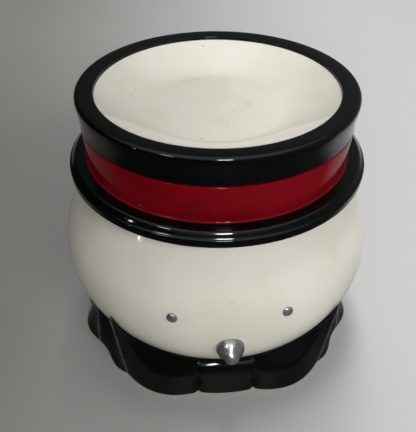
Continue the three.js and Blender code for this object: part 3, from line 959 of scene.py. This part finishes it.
class SNOWMAN_OT_hat(bpy.types.Operator):
    """Turns the brim and the band of the hat"""

    bl_idname = "snowman.hat"
    bl_label = "Hat"

    def execute(self, context):
        settings = context.scene.snowman
        self.brim(settings)
        self.band(settings)
        return {"FINISHED"}

    def brim(self, settings):
        """A disc with a rounded edge and a soft shoulder up to its flat top."""
        hat = settings.hat
        bore = ball_radius(settings.head, HEAD.top, settings.head.wall)
        edge = hat.brim_radius
        bend = hat.brim_round
        lip_slope = 62
        shoulder_slope = 45
        flat_slope = 90
        lip = arc((edge - bend, BRIM.bottom + hat.brim_edge - bend), bend, 0, lip_slope, steps=6)
        shoulder = (edge - hat.brim_shoulder, BRIM.top - hat.brim_fall)
        crown = (edge - hat.brim_margin, BRIM.top)
        brim = turn_ring(
            "glazed_brim",
            [
                (bore, HEAD.top),
                (hat.band_foot, HEAD.top),
                *arc((edge - bend, BRIM.bottom + bend), bend, -90, 0, steps=6),
                *lip,
                *self.ease_between(lip[-1], shoulder, lip_slope, shoulder_slope),
                *self.ease_between(shoulder, crown, shoulder_slope, flat_slope),
                (bore, BRIM.top),
            ],
        )
        glaze = black_glaze("Brim glaze", settings.colours, ridges=False)
        hand_over(brim, "hat_brim", "holder", glaze)

    def ease_between(self, start, end, start_slope, end_slope):
        """A curve up and inwards between two points, with the way its face looks given at both ends."""
        reach = math.dist(start, end) / 3
        turn_in = math.radians(start_slope)
        turn_out = math.radians(end_slope)
        start_pull = (start[0] - reach * math.sin(turn_in), start[1] + reach * math.cos(turn_in))
        end_pull = (end[0] + reach * math.sin(turn_out), end[1] - reach * math.cos(turn_out))
        return sweep(start, start_pull, end_pull, end, steps=6)[1:]

    def band(self, settings):
        """A ring wall that widens upwards, with a hollow round at its foot."""
        hat = settings.hat
        inside = hat.band_top - hat.band_wall
        fillet = hat.band_fillet
        bend = 0.0003
        band = turn_ring(
            "glazed_band",
            [
                (inside, BRIM.top),
                *arc((hat.band_foot + fillet, BRIM.top + fillet), fillet, 270, 180, steps=7),
                *arc((hat.band_top - bend, BAND.top - bend), bend, 0, 90, steps=3),
                (inside, BAND.top),
            ],
        )
        hand_over(band, "hat_band", "holder", red_glaze("Red glaze", settings.colours))


class SNOWMAN_OT_dish(bpy.types.Operator):
    """Turns the black rim and the white bowl that lift off the hat"""

    bl_idname = "snowman.dish"
    bl_label = "Dish"

    def execute(self, context):
        settings = context.scene.snowman
        self.bowl(settings)
        self.rim(settings)
        return {"FINISHED"}

    def bowl(self, settings):
        """A shallow bowl with a flat floor, whose edge is tucked into the rim."""
        dish = settings.dish
        low = bowl_height(dish, 0)
        tuck = 0.0003
        edge = dish.opening + tuck
        bowl = turn_on_wheel(
            "glazed_bowl",
            [
                (0, low - dish.wall),
                *bowl_curve(dish, dish.floor_radius, edge, -dish.wall, steps=14),
                *bowl_curve(dish, edge, dish.floor_radius, 0, steps=24),
                (dish.floor_radius / 2, low),
                (0, low),
            ],
        )
        glaze = white_glaze("Bowl glaze", settings.colours, stains=True)
        hand_over(bowl, "dish_bowl", "dish", glaze)

    def rim(self, settings):
        """The ring round the bowl, with a spigot below that drops into the hat."""
        dish = settings.dish
        foot = settings.hat.band_top
        seat = BAND.top + SEAT_GAP
        outer = dish.rim_radius
        bend = dish.rim_round
        inner = dish.opening + FIT_GAP
        under = -dish.wall - FIT_GAP
        corner = 0.0003
        chamfer = 0.0005
        lean = 0.0003
        pull = 0.005
        wall_foot = (foot, seat + corner)
        wall_top = (outer, RIM.top - bend)
        wall = sweep(wall_foot, (foot, seat + pull), (outer - lean, RIM.top - pull), wall_top, steps=8)
        brow = RIM.top - dish.rim_drop
        rim = turn_ring(
            "glazed_rim",
            [
                (foot - corner, seat),
                wall_foot,
                *wall[1:],
                *arc((outer - bend, RIM.top - bend), bend, 0, 90, steps=8)[1:],
                *arc((inner + corner, brow - corner), corner, 90, 180, steps=5),
                *bowl_curve(dish, inner, dish.spigot_inner, under, steps=4)[1:],
                (dish.spigot_inner, RIM.bottom),
                (dish.spigot_outer - chamfer, RIM.bottom),
                (dish.spigot_outer, RIM.bottom + chamfer),
                (dish.spigot_outer, seat),
            ],
        )
        glaze = black_glaze("Rim glaze", settings.colours, ridges=False)
        hand_over(rim, "dish_rim", "dish", glaze)


class SNOWMAN_OT_face(bpy.types.Operator):
    """Shapes the nose and the two eyes and sets them in the head"""

    bl_idname = "snowman.face"
    bl_label = "Face"

    def execute(self, context):
        settings = context.scene.snowman
        self.nose(settings, silver_lustre("Silver paint", settings.colours.silver))
        # The eyes' copy of the silver paint, toned apart to paint in how light falls on them
        dull = silver_lustre("Eye silver paint, painted light", settings.colours.eye_silver_painted_light)
        self.eye(settings, "silver_eye_left", "eye_left", -1, dull)
        self.eye(settings, "silver_eye_right", "eye_right", 1, dull)
        return {"FINISHED"}

    def nose(self, settings, paint):
        """A blunt cone with swelling sides, turned upright and then laid forwards."""
        face = settings.face
        wide = face.nose_radius
        bend = face.nose_tip
        root_depth = wide / 2
        root_radius = wide * 0.96
        swell = 0.0030
        taper = 0.0009
        taper_length = 0.0019
        tip_start = 25
        tip = arc((0, face.nose_length - bend), bend, tip_start, 90, steps=7)
        below_tip = (tip[0][0] + taper, tip[0][1] - taper_length)
        nose = turn_on_wheel(
            "silver_nose",
            [
                (0, -root_depth),
                (root_radius, -root_depth),
                (wide, 0),
                *sweep((wide, 0), (wide, swell), below_tip, tip[0], steps=9)[1:],
                *tip[1:],
            ],
            SMALL_WHEEL_STEPS,
        )
        nose.rotation_euler = (math.pi / 2, 0, 0)
        nose.location = (0, -ball_radius(settings.head, face.nose_height), face.nose_height)
        set_in_place(nose)
        hand_over(nose, "nose", "holder", paint, SOFT_ANGLE)

    def eye(self, settings, name, node, side, paint):
        """A flattened bead, cut off flat behind and set into the head on one side."""
        face = settings.face
        stand = ball_radius(settings.head, face.eye_height)
        turn = side * face.eye_angle
        clear_selection()
        bpy.ops.mesh.primitive_uv_sphere_add(segments=32, ring_count=20, radius=face.eye_radius)
        bead = name_new(name)
        bead.scale = (1, face.eye_proud / face.eye_radius, 1)
        set_in_place(bead)
        bpy.ops.object.mode_set(mode="EDIT")
        bpy.ops.mesh.select_all(action="SELECT")
        bpy.ops.mesh.bisect(
            plane_co=(0, face.eye_proud / 2, 0), plane_no=(0, 1, 0), use_fill=True, clear_outer=True
        )
        bpy.ops.object.mode_set(mode="OBJECT")
        bead.rotation_euler = (0, 0, turn)
        bead.location = (stand * math.sin(turn), -stand * math.cos(turn), face.eye_height)
        set_in_place(bead)
        hand_over(bead, node, "holder", paint)


class SNOWMAN_OT_tealight(bpy.types.Operator):
    """Makes the tealight: foil cup, wax, wick plate and wick"""

    bl_idname = "snowman.tealight"
    bl_label = "Tealight"

    def execute(self, context):
        colours = context.scene.snowman.colours
        self.cup(colours)
        self.wax(colours)
        self.wick_plate(colours)
        self.wick(colours)
        return {"FINISHED"}

    def cup(self, colours):
        """A drawn foil cup with a pressed-up base and a rolled lip."""
        low = CUP.bottom
        high = CUP.top
        foil = 0.0005
        lip = 0.0005
        outer = CUP.radius - lip
        pressed_up = 0.0004
        pressed_radius = outer * 0.55
        stand_radius = outer * 0.60
        bend = 0.0012
        inner_bend = 0.0009
        lip_start = 0.0016
        lip_end = 0.0012
        roll_start = -60
        roll_end = 170
        inset = foil + inner_bend
        cup = turn_on_wheel(
            "foil_cup",
            [
                (0, low + pressed_up),
                (pressed_radius, low + pressed_up),
                (stand_radius, low),
                *arc((outer - bend, low + bend), bend, -90, 0, steps=5),
                (outer, high - lip_start),
                *arc((outer, high - lip), lip, roll_start, roll_end, steps=7),
                (outer - foil, high - lip_end),
                *arc((outer - inset, low + inset), inner_bend, 0, -90, steps=4),
                (0, low + foil),
            ],
            steps=96,
        )
        metal = bright_metal("Cup foil", colours.foil, smooth=0.20, dull=0.36)
        hand_over(cup, "tealight_cup", "tealight", metal)

    def wax(self, colours):
        """The fill, which sinks between the cup and the wick, with a well for the plate below."""
        low = WAX.bottom
        high = WAX.top
        outer = WAX.radius
        bore = WICK.radius + FIT_GAP
        well = PLATE.radius + SEAT_GAP
        neck = PLATE.top + SEAT_GAP
        cup_pull = (outer - 0.002, high - 0.0009)
        wick_pull = (bore + 0.006, high - 0.0007)
        wax = turn_ring(
            "candle_wax",
            [
                (well, low),
                (outer, low),
                (outer, high),
                *sweep((outer, high), cup_pull, wick_pull, (bore, high), steps=8)[1:],
                (bore, neck),
                (well, neck),
            ],
            steps=64,
        )
        hand_over(wax, "tealight_wax", "tealight", candle_wax("Candle wax", colours))

    def wick_plate(self, colours):
        """A small disc with a neck that is crimped round the wick."""
        low = PLATE.bottom
        high = PLATE.top
        wide = PLATE.radius
        bore = WICK.radius + 2 * FIT_GAP
        sheet = 0.0006
        neck = bore + sheet
        edge = 0.0002
        crimp = 0.0001
        mouth = 0.0003
        plate = turn_ring(
            "wick_plate",
            [
                (bore, low),
                (wide - edge, low),
                (wide, low + sheet / 2),
                (wide - edge, low + sheet),
                *arc((neck + sheet, low + 2 * sheet), sheet, 270, 180, steps=4),
                (neck - crimp, high - edge),
                (neck - mouth, high),
                (bore, high),
            ],
            SMALL_WHEEL_STEPS,
        )
        metal = bright_metal("Tinned plate", colours.tin, smooth=0.28, dull=0.45)
        hand_over(plate, "wick_sustainer", "tealight", metal)

    def wick(self, colours):
        """Three strands, twisted."""
        radius = WICK.radius
        strands = 3
        groove = 0.72
        twist = math.radians(1500)
        clear_selection()
        bpy.ops.mesh.primitive_cylinder_add(
            vertices=24,
            radius=radius,
            depth=WICK.top - WICK.bottom,
            location=(0, 0, (WICK.bottom + WICK.top) / 2),
        )
        wick = name_new("braided_wick")
        set_in_place(wick)
        select_edges(wick, lambda edge: abs(edge.verts[1].co.z - edge.verts[0].co.z) > radius)
        bpy.ops.mesh.subdivide(number_cuts=40)
        bpy.ops.object.mode_set(mode="OBJECT")
        for vert in wick.data.vertices:
            strand = abs(math.cos(strands / 2 * math.atan2(vert.co.y, vert.co.x)))
            pull = between(groove, 1, strand)
            vert.co.x *= pull
            vert.co.y *= pull
        apply_modifier(wick, "Braid", "SIMPLE_DEFORM", deform_method="TWIST", deform_axis="Z", angle=twist)
        cotton = wick_cotton("Wick cotton", colours)
        hand_over(wick, "wick", "tealight", cotton, SOFT_ANGLE)


class SNOWMAN_OT_stage(bpy.types.Operator):
    """Sets the table, the light and the camera"""

    bl_idname = "snowman.stage"
    bl_label = "Stage"

    def execute(self, context):
        self.table(context.scene.snowman.colours)
        self.sky(context.scene)
        self.lamps()
        self.shade()
        self.camera(context.scene)
        context.scene.view_settings.view_transform = "Standard"
        return {"FINISHED"}

    def table(self, colours):
        """A plain top with painted shade: darker on the left, paler on the right. The part in front is dimmer
        where the gloss mirrors it.
        """
        clear_selection()
        bpy.ops.mesh.primitive_plane_add(size=2.6)
        table = name_new("table_top")
        finish = Finish("Table top")
        tree = finish.tree
        place = axes(tree, finish.place)
        # Painted shade across the table, darker on the left and paler on the right
        lit = spread(tree, place["X"], low=-0.22, high=0.24)
        tone = finish.over(lit, rgba(colours.floor_painted_shade), colours.floor)
        near = spread(tree, place["Y"], low=0.03, high=-0.05, to_high=0.9)
        mirrored = add(tree, "ShaderNodeLightPath").outputs["Is Glossy Ray"]
        tone = finish.over(finish.times(mirrored, near), tone, (0, 0, 0))
        finish.set(Base_Color=tone, Roughness=0.45)
        table.data.materials.append(finish.material)

    def sky(self, scene):
        """A dim room, brighter on the right, paler when looked at, and bright overhead in the gloss alone."""
        world = bpy.data.worlds.new("Soft room")
        scene.world = world
        world.use_nodes = True
        tree = world.node_tree
        paler = 0.3
        direction = axes(tree, add(tree, "ShaderNodeTexCoord").outputs["Generated"])
        rays = add(tree, "ShaderNodeLightPath").outputs
        room = spread(tree, direction["X"], low=-0.9, high=0.9, to_low=0.02, to_high=0.22)
        overhead = spread(tree, direction["Z"], low=0.6, high=1.0, to_high=1.3)
        seen = reckon(tree, "MULTIPLY_ADD", rays["Is Camera Ray"], paler, room)
        strength = reckon(tree, "MULTIPLY_ADD", rays["Is Glossy Ray"], overhead, seen)
        feed(tree, tree.nodes["Background"], Strength=strength, Color=rgba((0.92, 1.0, 1.0)))

    def lamps(self):
        """Windows that show in the gloss, and soft light from the walls and the ceiling that doesn't."""
        self.window("Window", azimuth=3.0, elevation=54, distance=1.0, size=(0.14, 0.12), power=4.5)
        self.window("Side window", azimuth=-52, elevation=52, distance=1.1, size=(0.14, 0.05), power=1.2)
        self.window("Far window", azimuth=-70, elevation=31, distance=1.2, size=(0.05, 0.04), power=0.33)
        self.soft("Front wall", azimuth=10, elevation=36, distance=1.4, size=(1.2, 0.25), power=13.0)
        self.soft("Back wall", azimuth=178, elevation=24, distance=1.4, size=(1.2, 0.5), power=3.5)
        self.soft("Room", azimuth=70, elevation=6, distance=1.4, size=(1.4, 0.4), power=0.6)
        self.soft("Ceiling", azimuth=175, elevation=76, distance=1.6, size=(0.3, 1.0), power=14.8)

    def window(self, name, **place):
        """A small bright lamp, for highlights alone."""
        self.lamp(name, **place).visible_diffuse = False

    def soft(self, name, **place):
        """A broad lamp that lights the holder without being mirrored in it."""
        self.lamp(name, **place).visible_glossy = False

    def lamp(self, name, azimuth, elevation, distance, size, power):
        """An oblong lamp aimed at the holder, placed by its direction from the front."""
        turn = math.radians(azimuth)
        lift = math.radians(elevation)
        aim = Vector((0, 0, 0.07))
        outward = Vector((math.sin(turn) * math.cos(lift), -math.cos(turn) * math.cos(lift), math.sin(lift)))
        clear_selection()
        bpy.ops.object.light_add(type="AREA", location=aim + distance * outward)
        lamp = bpy.context.object
        lamp.name = name
        lamp.data.shape = "RECTANGLE"
        lamp.data.size, lamp.data.size_y = size
        lamp.data.energy = power
        lamp.rotation_euler = outward.to_track_quat("Z", "Y").to_euler()
        return lamp

    def shade(self):
        """A board above the left half, which keeps the ceiling's light off that side and isn't seen."""
        clear_selection()
        bpy.ops.mesh.primitive_plane_add(size=1)
        board = name_new("shade_board")
        board.scale = (0.146, 0.38, 1)
        board.location = (-0.087, 0.07, 0.49)
        set_in_place(board)
        board.visible_camera = False
        board.visible_diffuse = False
        board.visible_glossy = False

    def camera(self, scene):
        """Looks down at the face, from a little to the left of it."""
        ahead = Vector((0.0568, 0.7789, -0.6247))
        clear_selection()
        bpy.ops.object.camera_add(location=(-0.0193, -0.2121, 0.2262))
        camera = bpy.context.object
        camera.rotation_euler = ahead.to_track_quat("-Z", "Y").to_euler()
        camera.data.sensor_width = 36
        camera.data.lens = 46.67
        camera.data.clip_start = 0.01
        scene.camera = camera


OPERATORS = (
    SNOWMAN_OT_head,
    SNOWMAN_OT_collar,
    SNOWMAN_OT_hat,
    SNOWMAN_OT_dish,
    SNOWMAN_OT_face,
    SNOWMAN_OT_tealight,
    SNOWMAN_OT_stage,
)


class SNOWMAN_PT_panel(bpy.types.Panel):
    """Sizes, colours and the steps that make the holder"""

    bl_idname = "SNOWMAN_PT_panel"
    bl_label = "Snowman Candle Holder"
    bl_space_type = "VIEW_3D"
    bl_region_type = "UI"
    bl_category = "Snowman"

    def draw(self, context):
        settings = context.scene.snowman
        for operator in OPERATORS:
            self.layout.operator(operator.bl_idname)
        for name in settings.__annotations__:
            group = getattr(settings, name)
            box = self.layout.box()
            for key in group.__annotations__:
                box.prop(group, key)


GROUPS = (HeadSizes, HatSizes, DishSizes, CollarSizes, FaceSizes, Colours, SnowmanSettings)
CLASSES = (*GROUPS, *OPERATORS, SNOWMAN_PT_panel)


def register():
    """Makes the settings, the operators and the panel known to Blender."""
    for item in CLASSES:
        bpy.utils.register_class(item)
    bpy.types.Scene.snowman = PointerProperty(type=SnowmanSettings)


def unregister():
    """Takes them away again."""
    del bpy.types.Scene.snowman
    for item in reversed(CLASSES):
        bpy.utils.unregister_class(item)


def main():
    """Makes the holder piece by piece, then sets the stage."""
    register()
    bpy.ops.snowman.head()
    bpy.ops.snowman.collar()
    bpy.ops.snowman.hat()
    bpy.ops.snowman.dish()
    bpy.ops.snowman.face()
    bpy.ops.snowman.tealight()
    bpy.ops.snowman.stage()


if __name__ == "__main__":
    main()
